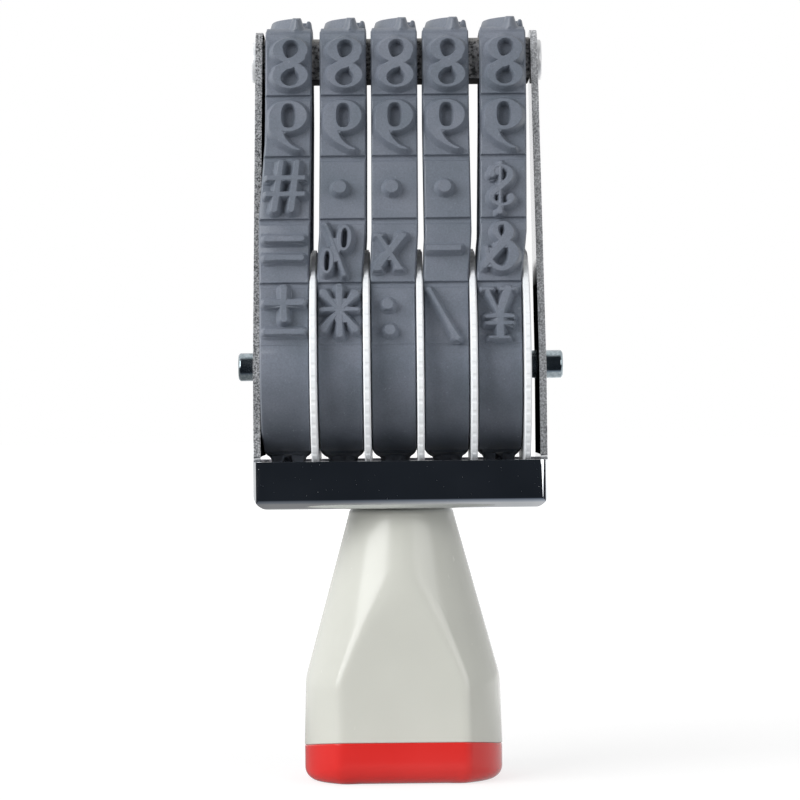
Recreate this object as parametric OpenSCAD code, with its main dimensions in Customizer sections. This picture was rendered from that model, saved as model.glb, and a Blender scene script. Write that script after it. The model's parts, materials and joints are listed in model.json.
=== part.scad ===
// Hand numbering stamp with five endless rubber bands.
// The stamp stands on the flat end of its handle cap, printing end up. Lengths are in millimetres.
// X runs across the bands, Y from front to back, Z from the cap to the printing end.
// The origin is the middle of the cap's flat end.

/* [Handle] */
// Diameter of the round grip at its cap
grip_w = 30.9; // [28:0.1:36]
// Distance between the grip's flat front and back at its cap
grip_d = 23.4; // [21:0.1:27]
// How far each side of the grip leans in over the height of the handle, for the mould
grip_draft = 0.9; // [0.2:0.1:1.5]
// Length of the handle between its cap and the yoke
handle_len = 35.9; // [32:0.1:44]
// Height of the grip's straight part under its flare
grip_straight = 9.3; // [8:0.1:12]
// Diameter of the round neck under the yoke
neck_d = 16.5; // [15:0.1:19]
// Radius of the neck's top edge
neck_edge_r = 1.2; // [0.4:0.1:2]
// Wall of the hollow grip
handle_wall = 2; // [1.6:0.1:2.6]
// Length of the solid neck above the hollow
neck_solid = 11; // [8:0.5:14]
// Height of the cap that shows below the grip
cap_h = 6.6; // [6:0.1:9]
// Radius of the cap's end edge
cap_edge_r = 3.5; // [2:0.1:4]
// Thickness of the cap's end
cap_floor = 2.2; // [1.6:0.1:3]
// How far the cap's plug reaches into the grip
plug_len = 3; // [2:0.1:6]
// Wall of the cap's plug
plug_wall = 1.5; // [1.2:0.1:2]

/* [Base screw] */
// Diameter of the screw's shank
screw_d = 3; // [2.5:0.1:3.5]
// Length of the screw under its head
screw_len = 15; // [12:0.5:18]
// Diameter of the screw's head
screw_head_d = 6; // [5.4:0.1:6.8]
// Height of the screw's head
screw_head_h = 1.6; // [1.3:0.1:2]
// Outer diameter of the washer
washer_d = 8.4; // [7.6:0.1:9.4]
// Thickness of the washer
washer_t = 0.5; // [0.4:0.1:0.8]

/* [Yoke] */
// Thickness of the pressed sheet
sheet_t = 1.1; // [0.8:0.1:1.3]
// Height of the tray's front and back lips above its underside
lip_h = 7.4; // [6:0.1:8.5]
// Outer radius of the tray's bends
bend_r = 2.4; // [1.8:0.1:3]
// Outer radius of the tray's four upright corners
tray_corner_r = 1.5; // [1.4:0.1:2.6]
// Width of each arm where it leaves the tray, front to back
arm_root_w = 19; // [16:0.1:20]
// Width of each arm at its tip, front to back
arm_tip_w = 10.8; // [10:0.1:12.5]
// Radius of the corners of an arm's tip
arm_tip_r = 2.4; // [1.5:0.1:3.5]
// Radius between an arm and the tray's lip
arm_root_r = 1.5; // [0.6:0.1:2]
// How far each arm's tip leans in
arm_lean = 0.8; // [0:0.1:0.8]
// How far the arms rise past the top of the platen
arm_over = 1.1; // [0.8:0.1:1.4]

/* [Platen] */
// Height of the platen's top above the axle
platen_rise = 51; // [48:0.1:58]
// Height of the platen bar
platen_h = 6.5; // [5.5:0.1:8]
// Depth of the platen bar, front to back
platen_d = 9.2; // [8.6:0.1:9.8]
// Radius of the platen's two upper edges
platen_r = 1.6; // [1:0.1:2.2]
// Diameter of a platen rivet's head
rivet_head_d = 6.4; // [5:0.1:7]
// Thickness of a platen rivet's head
rivet_head_t = 0.7; // [0.5:0.1:1]
// Diameter of a platen rivet's shank
rivet_d = 3; // [2.4:0.1:3.4]
// How far a rivet's shank reaches into the platen
rivet_grip = 5; // [4:0.1:8]

/* [Axle] */
// Diameter of the axle pin
axle_d = 4.4; // [4:0.1:5]
// How far the axle stands out of the left arm
axle_out_left = 2.6; // [1.6:0.1:4]
// How far the axle stands out of the right arm
axle_out_right = 2.9; // [1.6:0.1:4]
// Height of the low dome on each end of the axle
axle_dome = 0.3; // [0.2:0.1:0.6]

/* [Number wheels] */
// Radius of the thumb disc
disc_r = 18.2; // [17.4:0.1:19.5]
// Thickness of the thumb disc
disc_t = 1.05; // [0.9:0.05:1.5]
// Bevel of the disc's two rim edges
disc_bevel = 0.2; // [0.1:0.05:0.35]
// Number of notches in the disc's rim
notch_count = 60; // [30:2:72]
// Depth of a rim notch
notch_depth = 0.25; // [0.15:0.05:0.35]
// Radius of a rim notch
notch_r = 0.45; // [0.35:0.05:0.6]
// Depth of plain rim left under the notches, beside the bevels
notch_root = 0.05; // [0.03:0.01:0.2]
// Radius over the drum's grip ribs
drum_r = 11.75; // [11:0.05:12.4]
// Thickness of the drum's wall under its ribs
drum_wall = 1.4; // [1.1:0.1:1.8]
// Number of grip ribs on the drum
rib_count = 14; // [8:2:20]
// Height and width of a grip rib
rib_size = 0.6; // [0.4:0.1:0.8]
// Wall of the hub round the axle
hub_wall = 1.7; // [1.2:0.1:2.4]
// Number of webs between the hub and the drum
web_count = 6; // [3:1:8]
// Thickness of a web
web_t = 1; // [0.8:0.1:1.4]

/* [Number bands] */
// Width of a rubber band
band_w = 6.95; // [6.2:0.05:7.4]
// Thickness of a band from its inside to the face of a type block
band_t = 1.55; // [1.4:0.05:1.9]
// Height of a type block above the band's carrier
block_h = 0.45; // [0.3:0.05:0.6]
// How much narrower than the carrier a type block is, on each side
block_inset = 0.25; // [0.2:0.05:0.5]
// Distance from one character to the next
type_pitch = 9.75; // [9:0.05:10.3]
// Width of the groove between two type blocks
block_gap = 0.55; // [0.4:0.05:0.8]
// Height of a character above its block
type_h = 1.65; // [1.2:0.05:1.8]
// Width of a character
type_w = 5.4; // [4.6:0.1:5.8]
// Margin between a character and the end of its block
type_margin = 0.6; // [0.4:0.05:0.9]
// Inner radius of a band's bend over each edge of the platen, tight because the band gives at a groove
band_bend_r = 0.8; // [0.6:0.1:1.2]
// How far the row of bands and wheels sits to the left of the yoke's middle
lane_shift = 0.3; // [0:0.05:0.3]

/* [Clearances] */
// Radial clearance of a wheel on the axle
bore_clear = 0.05; // [0.03:0.01:0.09]
// Gap between the drum's ribs and the band
drum_clear = 0.2; // [0.15:0.05:0.3]
// Gap between a band and the disc on each side of it
lane_clear = 0.08; // [0.06:0.01:0.25]
// Gap between the bands and the platen
platen_clear = 0.05; // [0.03:0.01:0.1]
// Room between the outer bands and the tips of the arms
tip_clear = 0.35; // [0.35:0.05:0.6]
// Gap between the thumb discs and the screw's head
head_clear = 0.7; // [0.4:0.1:1.2]
// Gap between the thumb discs and the tray's lips
lip_clear = 0.95; // [0.6:0.05:1.4]
// Radial clearance of a fixed pin, rivet or screw in its hole
pin_clear = 0.02; // [0.01:0.01:0.05]
// Clearance of the cap's plug in the grip
plug_clear = 0.1; // [0.05:0.01:0.2]

/* [Hidden] */
$fn = 48;
// A little more than nothing, for cuts that run past a face
past = 1;

// Lanes: each has a band, a disc to the right of it and a gap on both sides of the band
lane_count = 5;
lane_w = band_w + 2 * lane_clear + disc_t;
lanes_w = lane_count * lane_w;

// Heights
base_z = cap_h + handle_len;
floor_z = base_z + sheet_t;
lip_z = base_z + lip_h;
axle_z = floor_z + washer_t + screw_head_h + head_clear + disc_r;
platen_top_z = axle_z + platen_rise;
platen_mid_z = platen_top_z - platen_h / 2;
arm_top_z = platen_top_z + arm_over;

// Yoke: the lips clear the discs, and the leaning tips clear the outer bands
disc_half_chord = sqrt(pow(disc_r, 2) - pow(axle_z - lip_z, 2));
yoke_d = 2 * (disc_half_chord + lip_clear + sheet_t);
yoke_inner_w = lanes_w + 2 * (tip_clear + arm_lean);
yoke_w = yoke_inner_w + 2 * sheet_t;
// How far the yoke's sides stand in at a height
function lean_at(z) = arm_lean * max(0, z - axle_z) / (arm_top_z - axle_z);

// Path of a band's inside: over the platen, down to the drum and round it
path_platen_r = band_bend_r;
path_drum_r = drum_r + drum_clear;
path_half_flat = platen_d / 2 + platen_clear - path_platen_r;
path_platen_z = platen_top_z + platen_clear - path_platen_r;
path_reach = norm([path_half_flat, path_platen_z - axle_z]);
// Direction of the front run's outward side, as an angle from the back
run_angle = 90 + atan2(path_half_flat, path_platen_z - axle_z)
    + acos((path_drum_r - path_platen_r) / path_reach);
run_len = sqrt(pow(path_reach, 2) - pow(path_drum_r - path_platen_r, 2));
// Lengths are measured along the cords in the carrier, which neither stretch nor shorten
cord_h = 0.5;
edge_len = (path_platen_r + cord_h) * (run_angle - 90) * PI / 180;
wrap_len = (path_drum_r + cord_h) * (270 - run_angle) * PI / 180;
half_len = path_half_flat + edge_len + run_len + wrap_len;

// Characters: number 0 is on the printing face, positive ones go down the front
carrier_t = band_t - block_h;
front_types = 5;
back_types = 7;
// How deep a block or character is rooted in what is under it
root_h = 0.2;

// ---- Path of the bands ----

// Place at distance s from the middle of the printing face, h outside the path, as [y, z].
// Positive distances run down the front.
function path_front(s, h) =
    s <= path_half_flat ? [-s, platen_top_z + platen_clear + h] :
    s <= path_half_flat + edge_len ? path_on_edge(s - path_half_flat, h) :
    s <= path_half_flat + edge_len + run_len ? path_on_run(s - path_half_flat - edge_len, h) :
    path_on_drum(s - path_half_flat - edge_len - run_len, h);
function path_on_edge(t, h) =
    polar([-path_half_flat, path_platen_z], path_platen_r + h,
        90 + t / (path_platen_r + cord_h) * 180 / PI);
function path_on_run(t, h) =
    polar([-path_half_flat, path_platen_z], path_platen_r + h, run_angle)
        + t * [-sin(run_angle), cos(run_angle)];
function path_on_drum(t, h) =
    polar([0, axle_z], path_drum_r + h, run_angle + t / (path_drum_r + cord_h) * 180 / PI);
function polar(c, r, a) = c + r * [cos(a), sin(a)];
function path_at(s, h) = s < 0 ? flip(path_front(-s, h)) : path_front(s, h);
function flip(p) = [-p[0], p[1]];
// The same points mirrored and in reverse order, which closes a symmetrical outline
function flipped(points) = [for (k = [len(points) - 1:-1:0]) flip(points[k])];
function arc(c, r, a0, a1, n) = [for (k = [0:n]) polar(c, r, a0 + (a1 - a0) * k / n)];

// Distances at which the path bends, from the back's foot to the front's
edge_steps = 8;
wrap_steps = 15;
bends = concat(
    [for (k = [0:edge_steps]) path_half_flat + edge_len * k / edge_steps],
    [for (k = [0:wrap_steps]) half_len - wrap_len * (1 - k / wrap_steps)]
);
function bends_between(a, b) = concat(
    [a],
    [for (k = [len(bends) - 1:-1:0]) if (-bends[k] > a && -bends[k] < b) -bends[k]],
    [for (s = bends) if (s > a && s < b) s],
    [b]
);

// Strip of the band between distances a and b, from height h0 to h1, as wide as w
module path_strip(a, b, h0, h1, w) {
    stops = bends_between(a, b);
    outer = [for (s = stops) path_at(s, h1)];
    inner = [for (k = [len(stops) - 1:-1:0]) path_at(stops[k], h0)];
    along_x(w) polygon(concat(outer, inner));
}

// ---- General shapes ----

// Section drawn in Y and Z, extruded along X to both sides of the middle
module along_x(w) {
    rotate([90, 0, 90]) linear_extrude(w, center = true) children();
}

// Section drawn in X and Z, extruded along Y to both sides of the middle
module along_y(d) {
    rotate([90, 0, 0]) linear_extrude(d, center = true) children();
}

module rounded_rect(w, d, r) {
    square([w - 2 * r, d], center = true);
    square([w, d - 2 * r], center = true);
    for (x = [-1, 1], y = [-1, 1]) translate([x * (w / 2 - r), y * (d / 2 - r)]) circle(r);
}

// Section as high as h on the line y = 0, w wide, with its two lower corners rounded
module tub_section(w, h, r) {
    translate([-w / 2, r]) square([w, h - r]);
    translate([-w / 2 + r, 0]) square([w - 2 * r, h]);
    for (x = [-1, 1]) translate([x * (w / 2 - r), r]) circle(r);
}

// Block with rounded upright corners and a rounded lower edge, standing on z = 0
module tub(w, d, h, corner_r, edge_r) {
    intersection() {
        linear_extrude(h) rounded_rect(w, d, corner_r);
        along_y(d + past) tub_section(w, h, edge_r);
        along_x(w + past) tub_section(d, h, edge_r);
    }
}

// Disc as wide as w with two flats at a distance of d
module flatted_disc(w, d) {
    intersection() {
        circle(w / 2);
        square([w + past, d], center = true);
    }
}

// Cylinder along X from x0 to x1
module bar_x(x0, x1, d) {
    translate([x0, 0, 0]) rotate([0, 90, 0]) cylinder(d = d, h = x1 - x0);
}

// ---- Yoke ----

// Tray and arms before they are cut to their side view, smaller by inset all round
module yoke_block(inset) {
    half_w = yoke_w / 2 - inset;
    top = arm_top_z + past - base_z - inset;
    tip = lean_at(arm_top_z + past);
    intersection() {
        translate([0, 0, base_z + inset])
            tub(2 * half_w, yoke_d - 2 * inset, top, tray_corner_r - inset, bend_r - inset);
        along_y(yoke_d) polygon([
            [-half_w, base_z], [half_w, base_z], [half_w, axle_z], [half_w - tip, arm_top_z + past],
            [tip - half_w, arm_top_z + past], [-half_w, axle_z]
        ]);
    }
}

// Back half of the yoke's side view, from the underside up to the tip of an arm
yoke_back_view = concat(
    [[yoke_d / 2 + past, base_z - past], [yoke_d / 2 + past, lip_z]],
    arc([arm_root_w / 2 + arm_root_r, lip_z + arm_root_r], arm_root_r, 270, 180, 6),
    arc([arm_tip_w / 2 - arm_tip_r, arm_top_z - arm_tip_r], arm_tip_r, 0, 90, 8)
);

module yoke() {
    color("silver") difference() {
        intersection() {
            difference() {
                yoke_block(0);
                yoke_block(sheet_t);
            }
            along_x(yoke_w + past) polygon(concat(yoke_back_view, flipped(yoke_back_view)));
        }
        translate([0, 0, axle_z]) bar_x(-yoke_w, yoke_w, axle_d + 2 * pin_clear);
        translate([0, 0, platen_mid_z]) bar_x(-yoke_w, yoke_w, rivet_d + 2 * pin_clear);
        translate([0, 0, base_z - past]) cylinder(d = screw_d + 2 * pin_clear, h = sheet_t + 2 * past);
    }
}

// ---- Platen and its rivets ----

// Half the length of the platen, which just fits between the arms at its top
platen_half_w = yoke_inner_w / 2 - lean_at(platen_top_z) - platen_clear;
// Where the inside of a rivet's head lies, clear of the leaning arm
rivet_seat_x = yoke_w / 2 - lean_at(platen_mid_z - rivet_head_d / 2);

module platen() {
    color("darkgray") difference() {
        translate([0, 0, platen_mid_z]) mirror([0, 0, 1]) translate([0, 0, -platen_h / 2])
            along_x(2 * platen_half_w) tub_section(platen_d, platen_h, platen_r);
        for (side = [-1, 1]) translate([side * platen_half_w, 0, platen_mid_z])
            bar_x(-rivet_grip - past, rivet_grip + past, rivet_d + 2 * pin_clear);
    }
}

module platen_rivet() {
    tip_x = platen_half_w - rivet_grip;
    bevel = rivet_head_t / 3;
    translate([tip_x, 0, platen_mid_z]) rotate([0, 90, 0]) rotate_extrude() polygon([
        [0, 0], [rivet_d / 2, 0], [rivet_d / 2, rivet_seat_x - tip_x],
        [rivet_head_d / 2, rivet_seat_x - tip_x],
        [rivet_head_d / 2, rivet_seat_x - tip_x + rivet_head_t - bevel],
        [rivet_head_d / 2 - bevel, rivet_seat_x - tip_x + rivet_head_t],
        [0, rivet_seat_x - tip_x + rivet_head_t]
    ]);
}

module platen_rivets() {
    color("gainsboro") {
        platen_rivet();
        mirror([1, 0, 0]) platen_rivet();
    }
}

// ---- Axle ----

module axle() {
    x0 = -yoke_w / 2 - axle_out_left;
    x1 = yoke_w / 2 + axle_out_right;
    r = axle_d / 2;
    color("lightgray") translate([x0, 0, axle_z]) rotate([0, 90, 0]) rotate_extrude() polygon([
        [0, 0], [r - axle_dome, 0], [r, axle_dome], [r, x1 - x0 - axle_dome],
        [r - axle_dome, x1 - x0], [0, x1 - x0]
    ]);
}

// ---- Number wheels ----

// Puts a wheel or band in its lane, whose left edge is at x = 0 of the part
module in_lane(lane) {
    translate([(lane - 1) * lane_w - lanes_w / 2 - lane_shift, 0, 0]) children();
}

module number_wheel() {
    drum_x = lane_clear;
    disc_x = band_w + lane_clear;
    body_r = drum_r - rib_size;
    hub_r = axle_d / 2 + bore_clear + hub_wall;
    color("white") translate([0, 0, axle_z]) rotate([0, 90, 0]) difference() {
        union() {
            translate([0, 0, disc_x]) thumb_disc();
            translate([0, 0, drum_x]) linear_extrude(disc_x - drum_x + disc_t / 2) {
                difference() {
                    circle(body_r);
                    circle(body_r - drum_wall);
                }
                circle(hub_r);
                for (k = [0:web_count - 1]) rotate(k * 360 / web_count)
                    translate([hub_r - root_h, -web_t / 2])
                        square([body_r - drum_wall / 2 - hub_r + root_h, web_t]);
                for (k = [0:rib_count - 1]) rotate(k * 360 / rib_count)
                    translate([body_r - rib_size, -rib_size / 2]) square([2 * rib_size, rib_size]);
            }
        }
        translate([0, 0, -past]) cylinder(r = axle_d / 2 + bore_clear, h = lane_w + 2 * past);
    }
}

// Flat disc lying on z = 0, with a notched rim between two bevels
module thumb_disc() {
    core_r = disc_r - notch_depth - notch_root;
    rotate_extrude() polygon([
        [0, 0], [core_r - disc_bevel, 0], [core_r, disc_bevel],
        [core_r, disc_t - disc_bevel], [core_r - disc_bevel, disc_t], [0, disc_t]
    ]);
    translate([0, 0, disc_bevel]) linear_extrude(disc_t - 2 * disc_bevel) difference() {
        circle(disc_r);
        for (k = [0:notch_count - 1]) rotate(k * 360 / notch_count)
            translate([disc_r + notch_r - notch_depth, 0]) circle(notch_r);
    }
}

// ---- Number bands ----

module number_band() {
    color("slategray") translate([band_w / 2, 0, 0]) {
        along_x(band_w) difference() {
            polygon([for (s = bends_between(-half_len, half_len)) path_at(s, carrier_t)]);
            polygon([for (s = bends_between(-half_len, half_len)) path_at(s, 0)]);
        }
        for (k = [-back_types:front_types]) type_block(k * type_pitch);
        blank_block();
    }
}

// A block and the character on it, with its middle at distance s
module type_block(s) {
    half = (type_pitch - block_gap) / 2;
    path_strip(s - half, s + half, carrier_t - root_h, band_t, band_w - 2 * block_inset);
    path_strip(s - half + type_margin, s + half - type_margin, band_t - root_h, band_t + type_h, type_w);
}

// The long bare block between the last character of the back and the last of the front
module blank_block() {
    from = (front_types + 0.5) * type_pitch + block_gap / 2;
    to = 2 * half_len - (back_types + 0.5) * type_pitch - block_gap / 2;
    path_strip(from, half_len, carrier_t - root_h, band_t, band_w - 2 * block_inset);
    path_strip(-half_len, to - 2 * half_len, carrier_t - root_h, band_t, band_w - 2 * block_inset);
}

// ---- Handle ----

// How far the grip's sides stand in at a height
function draft_at(z) = grip_draft * (z - cap_h) / handle_len;

// The round neck flares down to the round grip, and the two flats cut both
flare_top_z = base_z - neck_edge_r;
flare_foot_z = cap_h + grip_straight;

// Flared grip, smaller by inset all round, from z = z0 to z1
module grip_body(inset, z0, z1) {
    half_w = grip_w / 2 - inset;
    half_d = grip_d / 2 - inset;
    neck_r = neck_d / 2 - inset;
    front = half_d - draft_at(z0);
    front_top = half_d - draft_at(z1);
    start_z = z0 - past;
    intersection() {
        along_x(grip_w + past) polygon([[-front, z0], [front, z0], [front_top, z1], [-front_top, z1]]);
        rotate_extrude() {
            polygon([
                [0, start_z], [half_w - draft_at(start_z), start_z],
                [half_w - draft_at(flare_foot_z), flare_foot_z], [neck_r, flare_top_z], [0, flare_top_z]
            ]);
            square([neck_r - neck_edge_r, base_z]);
            translate([neck_r - neck_edge_r, flare_top_z]) circle(neck_edge_r);
        }
    }
}

// The screw ends in a boss that hangs into the hollow
screw_tip_z = floor_z + washer_t - screw_len;
pilot_room = 0.8;
boss_floor = 1.6;
boss_wall = 2;

module handle() {
    hollow_top = base_z - neck_solid;
    pilot_z = screw_tip_z - pilot_room;
    boss_z = pilot_z - boss_floor;
    color("gainsboro") difference() {
        union() {
            difference() {
                grip_body(0, cap_h, base_z + past);
                grip_body(handle_wall, cap_h - past, hollow_top);
            }
            translate([0, 0, boss_z])
                cylinder(r = screw_d / 2 + boss_wall, h = max(hollow_top - boss_z, 0) + past);
        }
        translate([0, 0, pilot_z]) cylinder(d = screw_d + 2 * pin_clear, h = base_z);
    }
}

module handle_cap() {
    plug_inset = handle_wall + plug_clear + draft_at(cap_h + plug_len);
    plug_w = grip_w - 2 * plug_inset;
    plug_d = grip_d - 2 * plug_inset;
    color("crimson") difference() {
        union() {
            cap_end();
            translate([0, 0, cap_floor]) linear_extrude(cap_h + plug_len - cap_floor)
                flatted_disc(plug_w, plug_d);
        }
        translate([0, 0, cap_floor]) linear_extrude(cap_h + plug_len)
            flatted_disc(plug_w - 2 * plug_wall, plug_d - 2 * plug_wall);
    }
}

// The part of the cap that shows, with its end edge rounded on the round sides and on the flats
module cap_end() {
    intersection() {
        along_x(grip_w + past) tub_section(grip_d, cap_h, cap_edge_r);
        rotate_extrude() {
            square([grip_w / 2 - cap_edge_r, cap_h]);
            translate([0, cap_edge_r]) square([grip_w / 2, cap_h - cap_edge_r]);
            translate([grip_w / 2 - cap_edge_r, cap_edge_r]) circle(cap_edge_r);
        }
    }
}

// ---- Base screw and washer ----

module base_screw() {
    head_z = floor_z + washer_t;
    color("silver") difference() {
        union() {
            translate([0, 0, head_z]) intersection() {
                cylinder(d = screw_head_d, h = screw_head_h);
                translate([0, 0, screw_head_h - 1.5 * screw_head_d]) sphere(1.5 * screw_head_d, $fn = 96);
            }
            translate([0, 0, head_z - screw_len + screw_d / 2])
                cylinder(d = screw_d, h = screw_len);
            translate([0, 0, head_z - screw_len])
                cylinder(d1 = screw_d / 3, d2 = screw_d, h = screw_d / 2);
        }
        for (a = [0, 90]) rotate(a) translate([0, 0, head_z + screw_head_h])
            cube([screw_head_d * 0.6, screw_d * 0.25, screw_head_h * 1.2], center = true);
    }
}

module base_washer() {
    color("silver") translate([0, 0, floor_z]) difference() {
        cylinder(d = washer_d, h = washer_t);
        translate([0, 0, -past]) cylinder(d = screw_d + 2 * pin_clear, h = washer_t + 2 * past);
    }
}

yoke();
platen();
platen_rivets();
axle();
in_lane(1) number_wheel();  // number_wheel_1
in_lane(2) number_wheel();  // number_wheel_2
in_lane(3) number_wheel();  // number_wheel_3
in_lane(4) number_wheel();  // number_wheel_4
in_lane(5) number_wheel();  // number_wheel_5
in_lane(1) number_band();  // number_band_1
in_lane(2) number_band();  // number_band_2
in_lane(3) number_band();  // number_band_3
in_lane(4) number_band();  // number_band_4
in_lane(5) number_band();  // number_band_5
handle();
handle_cap();
base_screw();
base_washer();
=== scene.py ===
import json
import math

import bmesh
import bpy
import numpy as np
from mathutils import Matrix, Vector
from mathutils.geometry import delaunay_2d_cdt


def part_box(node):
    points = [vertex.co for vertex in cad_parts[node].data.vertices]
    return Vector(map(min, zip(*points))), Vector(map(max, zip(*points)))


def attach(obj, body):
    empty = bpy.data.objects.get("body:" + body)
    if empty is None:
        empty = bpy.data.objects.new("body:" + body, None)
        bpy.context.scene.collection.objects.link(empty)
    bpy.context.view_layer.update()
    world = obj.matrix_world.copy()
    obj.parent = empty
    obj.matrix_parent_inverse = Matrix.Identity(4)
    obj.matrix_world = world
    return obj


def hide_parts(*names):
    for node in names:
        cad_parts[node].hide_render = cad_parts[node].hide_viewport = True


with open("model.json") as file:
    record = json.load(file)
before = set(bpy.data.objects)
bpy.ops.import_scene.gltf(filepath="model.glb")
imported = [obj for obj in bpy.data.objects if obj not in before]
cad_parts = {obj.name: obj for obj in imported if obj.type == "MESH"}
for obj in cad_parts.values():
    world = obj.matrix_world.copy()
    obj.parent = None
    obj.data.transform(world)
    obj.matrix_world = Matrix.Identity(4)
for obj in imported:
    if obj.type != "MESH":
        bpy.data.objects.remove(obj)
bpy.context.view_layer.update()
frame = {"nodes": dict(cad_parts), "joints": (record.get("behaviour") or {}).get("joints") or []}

# Lengths are in millimetres, as in the part's source, and MM takes them to metres. Materials, studio and camera
# use metres.
MM = 0.001
LANES = range(1, 6)
TINY = 1e-12

# ---------------------------------------------------------------- general helpers


def box_mm(node):
    """Lowest and highest corner of a CAD node, in millimetres."""
    lo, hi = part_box(node)
    return lo / MM, hi / MM


def placed(name, mesh, body):
    """Object with the mesh, in the scene and riding on a body."""
    obj = bpy.data.objects.new(name, mesh)
    bpy.context.scene.collection.objects.link(obj)
    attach(obj, body)
    return obj


def new_object(name, verts, faces, material, body):
    """Smooth object from points in millimetres, riding on a body, with its faces turned outwards."""
    mesh = bpy.data.meshes.new(name)
    points = [tuple(float(c) * MM for c in v) for v in verts]
    mesh.from_pydata(points, [], [tuple(map(int, f)) for f in faces])
    mesh.validate()
    mesh.materials.append(material)
    mesh.polygons.foreach_set("use_smooth", [True] * len(mesh.polygons))
    bm = bmesh.new()
    bm.from_mesh(mesh)
    bmesh.ops.recalc_face_normals(bm, faces=bm.faces)
    bm.to_mesh(mesh)
    bm.free()
    return placed(name, mesh, body)


def area_weighted_normals(obj):
    """Vertex normals that follow the large faces, so that flat faces stay flat up to their soft edges."""
    mesh = obj.data
    n = len(mesh.vertices)
    co = np.zeros(n * 3)
    mesh.vertices.foreach_get("co", co)
    co = co.reshape(-1, 3) / MM
    mesh.calc_loop_triangles()
    tris = np.zeros(len(mesh.loop_triangles) * 3, int)
    mesh.loop_triangles.foreach_get("vertices", tris)
    tris = tris.reshape(-1, 3)
    cross = np.cross(co[tris[:, 1]] - co[tris[:, 0]], co[tris[:, 2]] - co[tris[:, 0]])
    area = np.linalg.norm(cross, axis=1, keepdims=True)
    weighted = cross * np.sqrt(area)
    total = np.zeros((n, 3))
    for k in range(3):
        np.add.at(total, tris[:, k], weighted)
    length = np.linalg.norm(total, axis=1, keepdims=True)
    total = np.where(length > TINY, total / np.maximum(length, TINY), (0.0, 0.0, 1.0))
    mesh.normals_split_custom_set_from_vertices([tuple(v) for v in total])


# ---------------------------------------------------------------- materials

# Sockets of a mix node that hold its two colours and its result
MIX_A, MIX_B, MIX_RESULT = 6, 7, 2


class Nodes:
    """Short way to build the node tree of a material or the world."""

    def __init__(self, owner):
        self.tree = owner.node_tree
        self.tree.nodes.clear()

    def add(self, kind, inputs=None, **settings):
        node = self.tree.nodes.new(kind)
        for key, value in settings.items():
            setattr(node, key, value)
        for key, value in (inputs or {}).items():
            self.put(node, key, value)
        return node

    def put(self, node, key, value):
        """Link or set an input of a node: the value is a socket, a node or a plain value."""
        socket = node.inputs[key]
        if hasattr(value, "is_output"):
            self.tree.links.new(value, socket)
        elif hasattr(value, "outputs"):
            self.tree.links.new(value.outputs[0], socket)
        else:
            socket.default_value = value

    def noise(self, vector, scale, detail=2.0, roughness=0.5):
        inputs = {"Vector": vector, "Scale": scale, "Detail": detail, "Roughness": roughness}
        return self.add("ShaderNodeTexNoise", inputs).outputs["Fac"]

    def ramp(self, factor, stops):
        node = self.add("ShaderNodeValToRGB", {"Fac": factor})
        elements = node.color_ramp.elements
        while len(elements) < len(stops):
            elements.new(0.5)
        for element, (position, colour) in zip(elements, stops):
            element.position = position
            element.color = (*colour, 1.0)
        return node.outputs["Color"]

    def two_tone(self, noise, low, high, start=0.35):
        """Two screen colours over the middle of a noise."""
        return self.ramp(noise, [(start, srgb(*low)), (1.0 - start, srgb(*high))])

    def levels(self, factor, low, high, out_low, out_high):
        node = self.add("ShaderNodeMapRange", {
            "Value": factor, "From Min": low, "From Max": high, "To Min": out_low, "To Max": out_high})
        return node.outputs["Result"]

    def spread(self, noise, low, high):
        """A noise's usual range taken to low and high."""
        return self.levels(noise, 0.3, 0.7, low, high)

    def math(self, operation, a, b):
        return self.add("ShaderNodeMath", {0: a, 1: b}, operation=operation).outputs["Value"]

    def mix(self, factor, a, b, blend="MIX"):
        """Mix of two colours, each a socket or three linear values."""
        node = self.add("ShaderNodeMix", data_type="RGBA", blend_type=blend)
        self.put(node, "Factor", factor)
        for socket, colour in ((MIX_A, a), (MIX_B, b)):
            self.put(node, socket, (*colour, 1.0) if isinstance(colour, tuple) else colour)
        return node.outputs[MIX_RESULT]

    def bump(self, height, strength, distance):
        inputs = {"Strength": strength, "Distance": distance, "Height": height}
        return self.add("ShaderNodeBump", inputs).outputs["Normal"]

    def place(self):
        """The point on the object at rest."""
        return self.add("ShaderNodeTexCoord").outputs["Object"]

    def split(self, vector):
        """Sockets of a vector's X, Y and Z."""
        return self.add("ShaderNodeSeparateXYZ", {"Vector": vector}).outputs

    def seen(self, path):
        """1 where the camera looks, straight or through glass."""
        return self.math("MAXIMUM", path.outputs["Is Camera Ray"], path.outputs["Is Transmission Ray"])

    def finish(self, inputs):
        shader = self.add("ShaderNodeBsdfPrincipled", inputs)
        self.add("ShaderNodeOutputMaterial", {"Surface": shader})


def srgb(r, g, b):
    """A colour given in 0-255 screen values, as linear values."""
    screen = (r / 255, g / 255, b / 255)
    return tuple(v / 12.92 if v <= 0.04045 else ((v + 0.055) / 1.055) ** 2.4 for v in screen)


def new_material(name):
    material = bpy.data.materials.new(name)
    material.use_nodes = True
    return material, Nodes(material)


# Heights between which the rubber's painted shade low on the drum fades out, the painted shade on the right
# arm's inner face ends as the arm comes clear of the discs, and the platen's pale rim begins
LOW_SHADE_Z = (0.0520, 0.0650)
SHADE_END_Z = (0.077, 0.081)
RIM_Z = (0.1145, 0.1152)


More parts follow.
